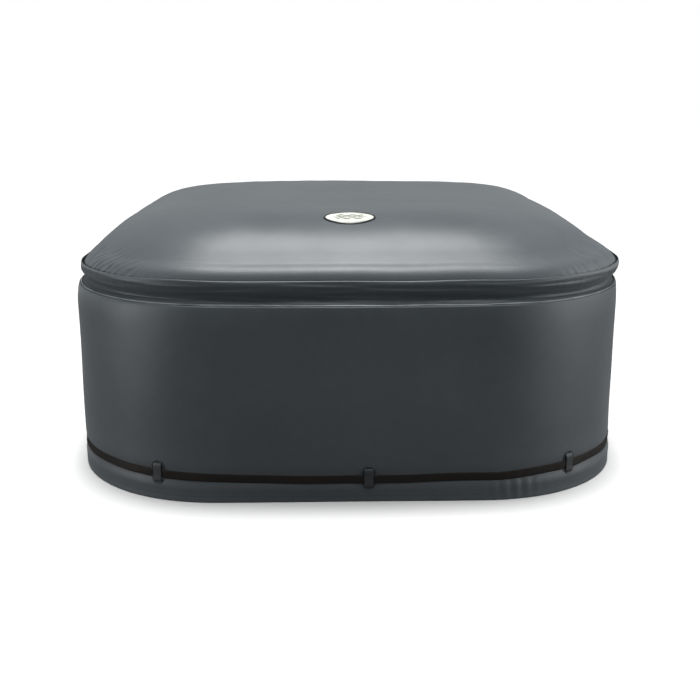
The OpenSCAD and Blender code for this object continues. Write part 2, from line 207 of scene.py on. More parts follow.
def ripple(seed, scales, *coords, waves=9):
    """Sum of seeded plane waves, about -1 to 1, with one typical wavelength for each coordinate."""
    rng = np.random.default_rng(seed)
    total = 0.0
    for _ in range(waves):
        way = rng.normal(size=len(coords))
        way /= np.linalg.norm(way)
        pace = rng.uniform(0.6, 1.5)
        phase = rng.uniform(0, 2 * math.pi)
        total = total + np.sin(phase + sum(2 * math.pi * pace * w * c / k
                                           for w, c, k in zip(way, coords, scales)))
    return total / math.sqrt(waves * 2)


# ---- The outline and what hangs on it -------------------------------------------------------------

class Outline:
    """Four bowed sides and four round corners. s runs along it from the front's middle towards +X."""

    def __init__(self):
        self.side_r = shape().side_radius
        self.corner_r = shape().corner_radius
        self.side_c = self.side_r - HALF_W
        reach = 2 * (self.side_r - self.corner_r) ** 2 - self.side_c ** 2
        self.corner_k = (math.sqrt(reach) - self.side_c) / 2
        self.side_a = math.atan2(self.corner_k, self.corner_k + self.side_c)
        self.side_len = 2 * self.side_a * self.side_r
        self.quarter = self.side_len + (math.pi / 2 - 2 * self.side_a) * self.corner_r
        self.length = 4 * self.quarter

    def frame(self, s):
        """Centre, angle and radius of the arc at s, each turned into place."""
        s = np.asarray(s, float)
        q = np.floor((s + self.side_len / 2) / self.quarter)
        u = s + self.side_len / 2 - q * self.quarter
        flat = u < self.side_len
        turn = (q - 1) * math.pi / 2
        angle = np.where(flat, u / self.side_r - self.side_a,
                         self.side_a + (u - self.side_len) / self.corner_r)
        cx = np.where(flat, -self.side_c, self.corner_k)
        cy = np.where(flat, 0.0, self.corner_k)
        radius = np.where(flat, self.side_r, self.corner_r)
        return (cx * np.cos(turn) - cy * np.sin(turn), cx * np.sin(turn) + cy * np.cos(turn),
                angle + turn, radius)

    def at(self, s, off):
        """Place at s, off outside the skirt."""
        cx, cy, angle, radius = self.frame(s)
        return cx + (radius + off) * np.cos(angle), cy + (radius + off) * np.sin(angle)

    def wrap(self, s):
        """s brought to within half the length of 0."""
        return (np.asarray(s) + self.length / 2) % self.length - self.length / 2

    def point(self, s, off, z):
        """Point at s, off outside the skirt and z high."""
        x, y = self.at(s, off)
        return np.stack(np.broadcast_arrays(x, y, z), axis=-1)


def calm(o, s):
    """1 round the buckle and the hose flap, where the skirt lies as the frame has it, and 0 elsewhere."""
    s = o.wrap(s)
    buckle = step(1 - (np.abs(s - o.quarter - 0.06) - 0.22) / 0.12)
    flap = step(1 - (o.length / 2 - np.abs(s) - 0.36) / 0.16)
    return np.maximum(buckle, flap)


def around_side(o, s):
    """+1 in the middle of each side and -1 at each corner."""
    return np.cos(2 * math.pi * np.asarray(s) / o.quarter)


def rim_draw(o, s):
    """How far the rim is drawn in: more at the left than elsewhere."""
    s = o.wrap(s)
    left = bump(s, -0.85, 0.55)
    right = bump(s, 0.95, 0.5)
    return -(0.002 + 0.011 * left + 0.003 * right) * (1 - calm(o, s))


def rim_drop(o, s):
    """How far the rim hangs below its frame along the front."""
    s = o.wrap(s)
    return -0.0042 * step((1.15 - np.abs(s)) / 0.35)


def wall_shift(o, s, z):
    """How far the skirt stands outside its frame at s and z."""
    p = shape()
    loose = 1 - calm(o, s)
    foot = np.power(1 - np.clip(z / 0.17, 0, 1), 1.6)
    swing = 1 - 0.55 * bump(o.wrap(s), -0.95, 0.35)
    hem = -0.0005 - p.hem_swing * around_side(o, s) * swing
    belly = p.wall_bulge * bump(z, 0.26, 0.13) * (0.6 + 0.4 * around_side(o, s))
    pull = -p.strap_pull * bump(z, STRAP_Z, 0.022)
    below = 0.0015 * bump(z, 0.045, 0.015)
    rise = np.clip((z - (RIM_Z - 0.075)) / 0.075, 0, 1)
    shoulder = rim_draw(o, s) * (1 - np.sqrt(np.maximum(0.0, 1 - rise ** 2.2)))
    soft = 0.0016 * ripple(3, (0.9, 0.5), s, z) + 0.0005 * ripple(4, (0.22, 0.3), s, z)
    soft = soft * step((RIM_Z - z) / 0.08) * step(z / 0.05)
    tucks = 0.0022 * bump(o.wrap(s), 0.47, 0.07) * np.sin(2 * math.pi * s / 0.034) \
        * bump(z, 0.035, 0.03)
    return loose * (foot * hem + belly + pull + below + soft + tucks) + shoulder


def strap_height(o, s):
    """Height of the strap's middle: it sags along the sides and rides up at the corners."""
    loose = 1 - calm(o, s)
    dip = 0.0035 * bump(o.wrap(s), 0.43, 0.07)
    wave = 0.0007 * ripple(8, (0.35,), s)
    return STRAP_Z + loose * (wave - dip - shape().strap_sag * around_side(o, s))


def keeper_places(o):
    """Where the keepers stand, read from their frame nodes."""
    places = []
    trial = np.linspace(-o.length / 2, o.length / 2, 6001)
    x, y = o.at(trial, 0.002)
    for i in range(1, 10):
        mid = [(low + high) / 2 for low, high in zip(*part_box(f"keeper_{i}"))]
        places.append(float(trial[np.argmin((x - mid[0]) ** 2 + (y - mid[1]) ** 2)]))
    return places


# ---- Mesh helpers ---------------------------------------------------------------------------------

def grid_faces(rows, cols, loop=False, flip=False, base=0):
    """Quads of a grid of points, numbered row by row."""
    i, j = np.meshgrid(np.arange(rows - 1), np.arange(cols if loop else cols - 1), indexing="ij")
    k = (j + 1) % cols
    quads = np.stack([i * cols + j, i * cols + k, (i + 1) * cols + k, (i + 1) * cols + j], axis=-1)
    quads = quads.reshape(-1, 4) + base
    return quads[:, ::-1] if flip else quads


def new_mesh(name, points, faces, material):
    """A mesh object in the scene, with one material."""
    mesh = bpy.data.meshes.new(name)
    mesh.from_pydata(np.asarray(points, float).reshape(-1, 3).tolist(), [],
                     [tuple(int(v) for v in f) for f in faces])
    mesh.materials.append(material)
    mesh.polygons.foreach_set("use_smooth", np.full(len(mesh.polygons), True))
    mesh.validate()
    mesh.update()
    piece = bpy.data.objects.new(name, mesh)
    bpy.context.scene.collection.objects.link(piece)
    return piece


def border(rows, cols, loop):
    """Index pairs round a grid's edge, for joining its two faces."""
    pairs = []
    if loop:
        for j in range(cols):
            k = (j + 1) % cols
            pairs.append((k, j))
            pairs.append(((rows - 1) * cols + j, (rows - 1) * cols + k))
        return pairs
    edge = list(range(cols))
    edge += [i * cols + cols - 1 for i in range(1, rows)]
    edge += [(rows - 1) * cols + j for j in range(cols - 2, -1, -1)]
    edge += [i * cols for i in range(rows - 2, 0, -1)]
    return [(edge[(n + 1) % len(edge)], edge[n]) for n in range(len(edge))]


def sheet_mesh(name, outer, inner, material, loop=False):
    """Closed sheet between two grids of points: outer faces out when rows rise and columns go round."""
    rows, cols = outer.shape[:2]
    count = rows * cols
    front = grid_faces(rows, cols, loop)
    back = grid_faces(rows, cols, loop, flip=True, base=count)
    rim = [(a, b, b + count, a + count) for a, b in border(rows, cols, loop)]
    faces = [tuple(f) for f in front] + [tuple(f) for f in back] + rim
    return new_mesh(name, np.concatenate([outer.reshape(-1, 3), inner.reshape(-1, 3)]), faces, material)


def tube_mesh(name, rings, material, loop=True):
    """Tube through rings of points, closed into a loop or capped."""
    rings = np.asarray(rings)
    rows, cols = rings.shape[:2]
    if loop:
        rings = np.concatenate([rings, rings[:1]])
        faces = [tuple(f % (rows * cols)) for f in grid_faces(rows + 1, cols, True)]
        return new_mesh(name, rings[:-1], faces, material)
    faces = [tuple(f) for f in grid_faces(rows, cols, True)]
    faces += [tuple(range(cols))[::-1], tuple(range((rows - 1) * cols, rows * cols))]
    return new_mesh(name, rings, faces, material)


def stitches(name, places, along, out, material, length, thick):
    """A row of small raised stitches: one low six-sided stud at each place."""
    verts, faces = [], []
    for p, a, n in zip(places, along, out):
        p, a, n = Vector(p), Vector(a).normalized(), Vector(n).normalized()
        side = n.cross(a)
        base = len(verts)
        for t, w in ((-0.5, 0.15), (-0.3, 1.0), (0.3, 1.0), (0.5, 0.15)):
            for ang in range(5):
                c, d = math.cos(math.pi * ang / 4), math.sin(math.pi * ang / 4)
                verts.append(p + a * (t * length) + side * (c * thick * 0.5 * w) + n * (d * thick * 0.6 * w))
        for r in range(3):
            for c in range(4):
                q = base + r * 5 + c
                faces.append((q, q + 1, q + 6, q + 5))
            q = base + r * 5
            faces.append((q + 4, q, q + 5, q + 9))
        faces.append(tuple(range(base, base + 5))[::-1])
        faces.append(tuple(range(base + 15, base + 20)))
    return new_mesh(name, [tuple(v) for v in verts], faces, material)


def place_piece(piece, body, nodes=()):
    """Rides a piece on a body, in place of frame nodes."""
    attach(piece, body)
    if nodes:
        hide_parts(*nodes)
    return piece


# ---- Materials ------------------------------------------------------------------------------------

class Nodes:
    """Small builder for a principled material."""

    def __init__(self, name):
        self.material = bpy.data.materials.new(name)
        self.material.use_nodes = True
        self.tree = self.material.node_tree
        self.shader = self.tree.nodes["Principled BSDF"]
        self.place = self.tree.nodes.new("ShaderNodeTexCoord").outputs["Object"]

    def add(self, kind, **inputs):
        """A node whose inputs are linked or set."""
        node = self.tree.nodes.new(kind)
        for key, value in inputs.items():
            socket = node.inputs[key.replace("_", " ")]
            if isinstance(value, bpy.types.NodeSocket):
                self.tree.links.new(value, socket)
            else:
                socket.default_value = value
        return node

    def stretched(self, scale):
        """Object coordinates scaled by axis."""
        return self.add("ShaderNodeMapping", Vector=self.place, Scale=scale).outputs["Vector"]

    def noise(self, scale, detail=3.0, rough=0.5):
        node = self.add("ShaderNodeTexNoise", Vector=self.place, Scale=scale, Detail=detail, Roughness=rough)
        return node.outputs["Fac"]

    def wave(self, scale, vector, direction="X"):
        node = self.add("ShaderNodeTexWave", Vector=vector, Scale=scale)
        node.bands_direction = direction
        return node.outputs["Fac"]

    def math(self, operation, a, b=0.0):
        node = self.tree.nodes.new("ShaderNodeMath")
        node.operation = operation
        for socket, value in zip(node.inputs, (a, b)):
            if isinstance(value, bpy.types.NodeSocket):
                self.tree.links.new(value, socket)
            else:
                socket.default_value = value
        return node.outputs[0]

    def ramp(self, value, low, high, start=0.0, end=1.0):
        """Colour from low to high as the value rises."""
        node = self.add("ShaderNodeValToRGB", Fac=value)
        node.color_ramp.elements[0].position = start
        node.color_ramp.elements[1].position = end
        node.color_ramp.elements[0].color = (*low, 1)
        node.color_ramp.elements[1].color = (*high, 1)
        return node.outputs["Color"]

    def span(self, value, low, high):
        """The value's 0 to 1 stretched from low to high."""
        node = self.add("ShaderNodeMapRange", Value=value, To_Min=low, To_Max=high)
        return node.outputs["Result"]

    def bump(self, height, strength, distance):
        """Fine relief in the shader's normal."""
        node = self.add("ShaderNodeBump", Height=height, Strength=strength, Distance=distance)
        self.link(node.outputs["Normal"], "Normal")

    def link(self, output, name):
        self.tree.links.new(output, self.shader.inputs[name])

    def set(self, **values):
        """Plain values on the shader's own sockets."""
        for key, value in values.items():
            self.shader.inputs[key.replace("_", " ")].default_value = value


def shade(colour, factor):
    """A lighter or darker version of a colour."""
    return tuple(min(1.0, c * factor) for c in colour)


def coated_fabric():
    """Slate fabric with a soft coating: faint clouding, a fine weave and a low sheen."""
    n = Nodes("coated_fabric")
    base = tuple(colours().fabric)
    cloud = n.noise(2.6, 4.0, 0.55)
    fine = n.noise(34.0, 5.0, 0.6)
    mixed = n.math("ADD", n.math("MULTIPLY", cloud, 0.7), n.math("MULTIPLY", fine, 0.3))
    n.link(n.ramp(mixed, shade(base, 0.86), shade(base, 1.14), 0.3, 0.7), "Base Color")
    n.link(n.span(n.noise(5.5, 4.0, 0.6), 0.36, 0.50), "Roughness")
    weave = n.math("ADD", n.wave(330.0, n.stretched((1, 1, 0.02))), n.wave(330.0, n.place, "Z"))
    grain = n.math("ADD", n.math("MULTIPLY", weave, 0.4), n.math("MULTIPLY", n.noise(150.0, 4.0, 0.7), 1.2))
    n.bump(grain, 0.16, 0.0012)
    n.set(Specular_IOR_Level=0.5, Sheen_Weight=0.12, Sheen_Roughness=0.45)
    return n.material


def piping_vinyl():
    """Grey vinyl over the piping's cord."""
    n = Nodes("piping_vinyl")
    base = tuple(colours().piping)
    n.link(n.ramp(n.noise(14.0, 3.0), shade(base, 0.62), shade(base, 1.25), 0.35, 0.7), "Base Color")
    n.link(n.span(n.noise(60.0), 0.26, 0.42), "Roughness")
    n.bump(n.noise(220.0, 2.0), 0.08, 0.0006)
    return n.material


def webbing():
    """Brown-black webbing: ribs along the strap and a fine herringbone across it."""
    n = Nodes("webbing")
    base = tuple(colours().webbing)
    ribs = n.wave(170.0, n.place, "Z")
    rows = n.wave(210.0, n.stretched((1, 1, 0.6)), "DIAGONAL")
    weave = n.math("MULTIPLY", ribs, n.math("ADD", n.math("MULTIPLY", rows, 0.6), 0.4))
    n.link(n.ramp(weave, shade(base, 0.6), shade(base, 1.7)), "Base Color")
    n.link(n.span(n.noise(40.0), 0.5, 0.68), "Roughness")
    n.bump(weave, 0.5, 0.0008)
    n.set(Specular_IOR_Level=0.25)
    return n.material


def woven_tape(name, base, scale=420.0):
    """Plain woven tape."""
    n = Nodes(name)
    weave = n.math("MULTIPLY", n.wave(scale, n.stretched((1, 1, 0.1))), n.wave(scale, n.place, "Z"))
    n.link(n.ramp(weave, shade(base, 0.7), shade(base, 1.5)), "Base Color")
    n.link(n.span(n.noise(30.0), 0.62, 0.8), "Roughness")
    n.bump(weave, 0.35, 0.0006)
    return n.material


def hooks_and_loops():
    """Dark pile of the hook and loop strips."""
    n = Nodes("hooks_and_loops")
    base = tuple(colours().tape)
    pile = n.noise(900.0, 3.0, 0.7)
    n.link(n.ramp(pile, shade(base, 0.3), shade(base, 1.1), 0.35, 0.7), "Base Color")
    n.bump(pile, 0.9, 0.001)
    n.set(Roughness=0.92, Sheen_Weight=0.3)
    return n.material


def moulded(name, base, rough, grain=0.12):
    """Moulded plastic or rubber with a fine grain."""
    n = Nodes(name)
    n.link(n.ramp(n.noise(25.0, 4.0), shade(base, 0.85), shade(base, 1.2), 0.3, 0.7), "Base Color")
    n.link(n.span(n.noise(80.0, 3.0), rough - 0.06, rough + 0.08), "Roughness")
    n.bump(n.noise(700.0, 2.0), grain, 0.0005)
    return n.material


def quilted_foil():
    """Foil face of the insulating liner, crinkled."""
    n = Nodes("quilted_foil")
    base = tuple(colours().foil)
    crinkle = n.noise(24.0, 6.0, 0.65)
    n.link(n.ramp(crinkle, shade(base, 0.75), shade(base, 1.15), 0.3, 0.75), "Base Color")
    n.link(n.span(n.noise(60.0), 0.24, 0.42), "Roughness")
    n.bump(crinkle, 0.5, 0.004)
    n.set(Metallic=0.75)
    return n.material


def bladder_film():
    """Pale glossy film of the air bladder."""
    n = Nodes("bladder_film")
    base = tuple(colours().film)
    n.link(n.ramp(n.noise(6.0, 4.0), shade(base, 0.88), shade(base, 1.08), 0.3, 0.7), "Base Color")
    n.link(n.span(n.noise(20.0), 0.2, 0.34), "Roughness")
    n.bump(n.noise(45.0, 5.0, 0.6), 0.2, 0.002)
    n.set(Coat_Weight=0.3, Coat_Roughness=0.15)
    return n.material


def cast_metal():
    """Bright cast metal of the zip's slider and pull."""
    n = Nodes("cast_metal")
    n.link(n.ramp(n.noise(120.0, 3.0), (0.32, 0.33, 0.34), (0.52, 0.53, 0.54), 0.3, 0.7), "Base Color")
    n.link(n.span(n.noise(260.0), 0.28, 0.42), "Roughness")
    n.bump(n.noise(500.0), 0.1, 0.0004)
    n.set(Metallic=1.0)
    return n.material


def coil_nylon():
    """Zip coil: close teeth along X."""
    n = Nodes("coil_nylon")
    teeth = n.wave(110.0, n.place, "X")
    n.link(n.ramp(teeth, (0.006, 0.007, 0.008), (0.045, 0.05, 0.054)), "Base Color")
    n.bump(teeth, 1.0, 0.0015)
    n.set(Roughness=0.4)
    return n.material


def studio_floor():
    """Matt pale floor."""
    n = Nodes("studio_floor")
    n.link(n.ramp(n.noise(0.7, 3.0), (0.60, 0.60, 0.60), (0.63, 0.63, 0.63)), "Base Color")
    n.link(n.span(n.noise(3.0), 0.85, 0.95), "Roughness")
    n.set(Specular_IOR_Level=0.1)
    return n.material


MATERIALS = {
    "fabric": coated_fabric,
    "piping": piping_vinyl,
    "webbing": webbing,
    "tape": lambda: woven_tape("binding_tape", tuple(colours().tape)),
    "underside": lambda: woven_tape("lid_underside", (0.33, 0.345, 0.355), 300.0),
    "zip_tape": lambda: woven_tape("zip_tape", (0.020, 0.022, 0.024), 500.0),
    "thread": lambda: woven_tape("stitch_thread", (0.035, 0.040, 0.044), 1600.0),
    "hooks": hooks_and_loops,
    "keeper": lambda: moulded("keeper_rubber", tuple(colours().keeper), 0.5, 0.2),
    "badge_face": lambda: moulded("badge_face", tuple(colours().badge_face), 0.32, 0.05),
    "badge_rim": lambda: moulded("badge_rim", tuple(colours().badge_rim), 0.28, 0.05),
    "buckle": lambda: moulded("buckle_plastic", tuple(colours().plastic), 0.42, 0.25),
    "valve": lambda: moulded("valve_vinyl", tuple(colours().valve), 0.4, 0.1),
    "foil": quilted_foil,
    "film": bladder_film,
    "metal": cast_metal,
    "coil": coil_nylon,
    "floor": studio_floor,
}
finished = {}


def material(key):
    """The material of a finish, made the first time that a piece asks for it."""
    if key not in finished:
        finished[key] = MATERIALS[key]()
    return finished[key]


def dress(node, key):
    """Gives a frame node a finished material."""
    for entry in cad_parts[node].material_slots:
        entry.material = material(key)


# ---- Lid ------------------------------------------------------------------------------------------

def crown(t, power):
    """Height of the smooth crown at share t of the way from the middle to the seam."""
    return SEAM_Z + CROWN_H * (1 - np.power(np.clip(t, 0, 1), power))


def lid_grid(o, count, edge_share=0.3):
    """Distance along the seam and share t for a square grid whose lines close up towards the seam."""
    p = np.linspace(-1, 1, count)
    lines = p * ((3 - edge_share) / 2 - (1 - edge_share) / 2 * p * p)
    u, v = np.meshgrid(lines, lines, indexing="xy")
    t = np.maximum(np.abs(u), np.abs(v))
    safe = np.maximum(t, 1e-9)
    half = o.quarter / 2
    s = np.where(-v >= np.abs(u), u / safe * half, 0.0)
    s = np.where((u >= np.abs(v)) & (u > 0), o.quarter + v / safe * half, s)
    s = np.where((v >= np.abs(u)) & (v > 0), 2 * o.quarter - u / safe * half, s)
    s = np.where((-u >= np.abs(v)) & (u < 0) & (-v < np.abs(u)), 3 * o.quarter - v / safe * half, s)
    return s, t


def seam_shift(o, s):
    """How far the lid's seam stands out of its frame, most at the right, and how far it wanders up."""
    s = o.wrap(s)
    out = 0.008 + 0.017 * bump(s, 1.35, 0.55) - 0.009 * bump(s, -1.35, 0.6) + 0.0012 * ripple(21, (0.5,), s)
    return out * (1 - 0.5 * step((np.abs(s) - 2.4) / 0.4)), 0.0010 * ripple(22, (0.4,), s)


def gather(o, s):
    """How strongly the lid is gathered at s: at the corners, most at the front left."""
    s = o.wrap(s)
    corners = [(-0.55, 1.0, 0.17), (0.55, 0.8, 0.2), (1.5, 0.6, 0.2), (-1.5, 0.6, 0.2)]
    return sum(w * bump(s, k * o.quarter, wide) for k, w, wide in corners)


def side_power(o, s):
    """Flatness of the crown at s: softer shoulders at the sides, fuller towards the back."""
    far = np.abs(o.wrap(s))
    return shape().crown_power - 0.5 * bump(far, 1.1, 0.45) + 2.0 * step((far - 1.7) / 0.5)


def lid_shape(o, s, t):
    """Place of the lid's fabric: crown, rolled edge, gathers at the corners and a slight wander."""
    off, up = seam_shift(o, s)
    wrapped = o.wrap(s)
    x, y = o.at(s, -SEAM_IN)
    z = crown(t, side_power(o, s))
    side = np.sign(wrapped)
    skew = s + (1.5 - 0.9 * (side > 0)) * (1 - t) * side
    folds = np.sin(2 * math.pi * skew / TUCK_PITCH + 3.0 * ripple(23, (0.14,), s))
    folds = folds * (0.55 + 0.6 * ripple(24, (0.07, 0.10), s, t))
    lift = shape().pucker * gather(o, s) * step((t - 0.91) / 0.08) * folds
    soft = 0.0020 * ripple(25, (0.55, 0.55), x * t, y * t) + 0.0004 * ripple(26, (0.13, 0.13), x * t, y * t)
    soft = soft * step((1 - t) / 0.2)
    roll = np.clip((t - ROLL_START) / (1 - ROLL_START), 0, 1)
    puff = 0.0080 * np.sin(math.pi * roll ** 1.3) * (0.25 + 0.75 * bump(wrapped, 0, 0.8))
    grow = t + (off * step((t - 0.93) / 0.06) + 0.6 * lift + 0.4 * puff) / HALF_W
    height = z + up * step((t - 0.7) / 0.3) + 0.7 * lift + soft + 0.85 * puff
    return np.stack([x * grow, y * grow, height], axis=-1)


def grid_normals(points):
    """Outward normals of a grid of points."""
    du = np.gradient(points, axis=1)
    dv = np.gradient(points, axis=0)
    n = np.cross(du, dv)
    return n / np.maximum(np.linalg.norm(n, axis=-1, keepdims=True), 1e-12)


def build_lid(context):
    """The lid's crowned fabric, from one edge of the seam to the other."""
    o = Outline()
    s, t = lid_grid(o, 241)
    outer = lid_shape(o, s, t)
    inner = outer - grid_normals(outer) * shape().fabric
    piece = sheet_mesh("lid_fabric", outer, inner, material("fabric"))
    place_piece(piece, BODY, ["top_panel"])


def smooth_profile(knots, count):
    """Points along a smooth curve through knots."""
    knots = np.asarray(knots, float)
    dist = np.concatenate([[0], np.cumsum(np.linalg.norm(np.diff(knots, axis=0), axis=1))])
    slopes = np.gradient(knots, dist, axis=0)
    out = []
    for d in np.linspace(0, dist[-1], count):
        i = min(np.searchsorted(dist, d, side="right") - 1, len(knots) - 2)
        h = dist[i + 1] - dist[i]
        f = (d - dist[i]) / h
        out.append((2 * f**3 - 3 * f**2 + 1) * knots[i] + (f**3 - 2 * f**2 + f) * h * slopes[i]
                   + (-2 * f**3 + 3 * f**2) * knots[i + 1] + (f**3 - f**2) * h * slopes[i + 1])
    return np.array(out)


# The band's section: distance outside the skirt and height, from the lid's seam down to the rim
BAND_PROFILE = [
    (-0.0196, 0.6515), (-0.0225, 0.6400), (-0.0260, 0.6320), (-0.0295, 0.6230),
    (-0.0310, 0.6140), (-0.0290, 0.6050), (-0.0210, 0.5970), (-0.0075, 0.5890),
]


def around(o, count):
    """Evenly spaced places right round the skirt."""
    return np.arange(count) * o.length / count - o.length / 2


def band_shape(o, s, profile, depth=0.0):
    """Place of the recessed band: its section swept round, with lengthways creases."""
    share = np.linspace(0, 1, len(profile))[:, None]
    off, up = seam_shift(o, s)
    upper = step((0.86 - share) / 0.5)
    lower = step((share - 0.35) / 0.6)
    mid = np.sin(math.pi * share) ** 0.7
    creases = 0.0020 * ripple(31, (0.50, 0.24), s[None, :], share)
    creases = creases + 0.0011 * ripple(32, (0.26, 0.13), s[None, :], share)
    folds = 0.0022 * np.sin(2 * math.pi * s / 0.033 + 2 * ripple(33, (0.1,), s)) * gather(o, s)
    folds = folds[None, :] * step(1 - share * 1.4) * mid
    out = profile[:, :1] + upper * off[None, :] + lower * rim_draw(o, s)[None, :] + 0.009 * mid * upper
    out = out + mid * (creases + folds) - depth
    z = profile[:, 1:] + (1 - share) * up[None, :] + share * rim_drop(o, s)[None, :] + 0.4 * mid * creases
    return o.point(np.broadcast_to(s, out.shape), out, z)


def build_band(context):
    """The recessed band, swept once round between the lid's seam and the rim."""
    o = Outline()
    s = around(o, 4 * shape().round_steps)
    profile = smooth_profile(BAND_PROFILE, 34)
    outer = band_shape(o, s, profile)[::-1]
    inner = band_shape(o, s, profile, shape().fabric)[::-1]
    piece = sheet_mesh("band_fabric", outer, inner, material("fabric"), loop=True)
    place_piece(piece, BODY, ["top_band"])


def build_piping(context):
    """The piping's round cord, which follows the rim."""
    o = Outline()
    s = around(o, 1200)
    radius = (PIPING_HIGH[2] - PIPING_LOW[2]) / 2
    middle = rim_draw(o, s) - radius
    height = RIM_Z + rim_drop(o, s) + 0.0006 * ripple(41, (0.3,), s)
    turns = np.linspace(0, 2 * math.pi, 12, endpoint=False)
    rings = [o.point(s, middle + radius * math.cos(a), height + radius * math.sin(a)) for a in turns]
    piece = tube_mesh("rim_cord", np.stack(rings, axis=1), material("piping"))
    place_piece(piece, BODY, ["rim_piping"])


# ---- Skirt ----------------------------------------------------------------------------------------

def drop_height(o, s, z):
    """Heights of the skirt's rows: the top ones hang with the rim."""
    return z[:, None] + step((z[:, None] - 0.45) / 0.12) * rim_drop(o, s)[None, :]


def skirt_rows():
    """Heights of the skirt's rows, closer together at the hem, the strap and the rim."""
    top = PIPING_LOW[2] + 0.001
    stretches = ((0.0012, 0.12, 34), (0.12, 0.50, 30), (0.50, top, 24))
    return np.unique(np.concatenate([np.linspace(*stretch) for stretch in stretches]))


def build_skirt(context):
    """The skirt's fabric with its hem: front, sides and corners as one sheet, and the back as another."""
    o = Outline()
    start = -o.length / 2 + o.side_len / 2
    s = np.linspace(start, -start, int(3.48 * shape().round_steps))
    z = skirt_rows()
    shift = wall_shift(o, s[None, :], z[:, None])
    across = np.broadcast_to(s, shift.shape)
    height = drop_height(o, s, z)
    outer = o.point(across, shift, height)
    inner = o.point(across, shift - shape().fabric, height)
    piece = sheet_mesh("skirt_fabric", outer, inner, material("fabric"))
    place_piece(piece, BODY, ["skirt_wrap"])
    build_skirt_back(o, start)
    build_hem(o)


def back_sheet(o, start, z, off, thick, key, name):
    """The back of the skirt as one sheet with the hose opening cut in it."""
    left, right = o.length / 2 - OPENING_HALF_S, o.length / 2 + OPENING_HALF_S
    beside, over = 40, 60
    across = np.concatenate([np.linspace(abs(start), left, beside)[:-1], np.linspace(left, right, over)[:-1],
                             np.linspace(right, o.length - abs(start), beside)])
    cut = int(np.argmin(np.abs(z - OPENING_TOP)))
    z = z.copy()
    z[cut] = OPENING_TOP
    shift = wall_shift(o, across[None, :], z[:, None])
    faces = [o.point(across[None, :], shift + off - depth, z[:, None]) for depth in (0.0, thick)]
    count = z.size * across.size
    inside = np.zeros((z.size - 1, across.size - 1), bool)
    inside[:cut, beside - 1:beside + over - 2] = True
    keep = np.flatnonzero(~inside.ravel())
    front = grid_faces(z.size, across.size)[keep]
    back = grid_faces(z.size, across.size, flip=True, base=count)[keep]
    edges = {}
    for quad in front.tolist():
        for m in range(4):
            edge = (quad[m], quad[(m + 1) % 4])
            if edge[::-1] in edges:
                del edges[edge[::-1]]
            else:
                edges[edge] = True
    quads = np.concatenate([front, back, [(b, a, a + count, b + count) for a, b in edges]])
    points = np.concatenate([face.reshape(-1, 3) for face in faces])
    used, quads = np.unique(quads, return_inverse=True)
    return new_mesh(name, points[used], quads.reshape(-1, 4), material(key))


def build_skirt_back(o, start):
    """The skirt's back sheet."""
    piece = back_sheet(o, start, skirt_rows(), 0.0, shape().fabric, "fabric", "skirt_back_fabric")
    place_piece(piece, BODY, ["skirt_back"])


# The hem's fold: distance outside the fabric and height, down the outer leg, under and up the inner leg
HEM_SECTION = [
    (-0.0012, 0.0180), (-0.0008, 0.0060), (0.0002, 0.0030), (-0.0004, 0.0009), (-0.0024, 0.0),
    (0.0024 - HEM_DEPTH, 0.0), (0.0004 - HEM_DEPTH, 0.0012), (-HEM_DEPTH, 0.0120), (-HEM_DEPTH, 0.0225),
    (0.0012 - HEM_DEPTH, 0.0225), (0.0014 - HEM_DEPTH, 0.0040), (0.0030 - HEM_DEPTH, 0.0018),
    (-0.0034, 0.0018), (-0.0020, 0.0060), (-0.0018, 0.0180),
]


def build_hem(o):
    """The fabric's folded edge along the floor, open at the hose opening, with its line of stitches."""
    end = o.length / 2 - OPENING_HALF_S
    s = np.linspace(-end, end, 1100)
    rings = []
    for off, z in HEM_SECTION:
        rings.append(o.point(s, wall_shift(o, s, np.full_like(s, max(z, 0.002))) + off, z))
    piece = tube_mesh("hem_fold", np.stack(rings, axis=1), material("fabric"), loop=False)
    place_piece(piece, BODY, ["hem_binding"])
    run = np.arange(-end + 0.01, end - 0.01, STITCH_PITCH)
    z = np.full_like(run, STITCH_Z)
    places = o.point(run, wall_shift(o, run, z), z)
    ahead = o.point(run + 0.001, wall_shift(o, run + 0.001, z), z)
    outward = o.point(run, wall_shift(o, run, z) + 0.01, z) - places
    thread = stitches("hem_stitches", places, ahead - places, outward, material("thread"), 0.0052, 0.0009)
    place_piece(thread, BODY)


def build_liner(context):
    """The foil-faced liner behind the skirt, quilted."""
    o = Outline()
    start = -o.length / 2 + o.side_len / 2
    z = skirt_rows()
    z = np.concatenate([z[z < LINER_TOP - 0.004], [LINER_TOP]])
    s = np.linspace(start, -start, int(2.2 * shape().round_steps))
    gap = shape().fabric + 0.0005
    across, height = s[None, :], z[:, None]
    shift = wall_shift(o, across, height)
    quilt = 0.0012 * np.abs(np.sin(math.pi * across / QUILT_PITCH) * np.sin(math.pi * height / QUILT_PITCH))
    outer = o.point(across, shift - gap, height)
    inner = o.point(across, shift - LINER_DEPTH - quilt, height)
    wrap = sheet_mesh("liner_foil", outer, inner, material("foil"))
    place_piece(wrap, BODY, ["liner_wrap"])
    back = back_sheet(o, start, z, -gap, 0.0065, "foil", "liner_back_foil")
    place_piece(back, BODY, ["liner_back"])


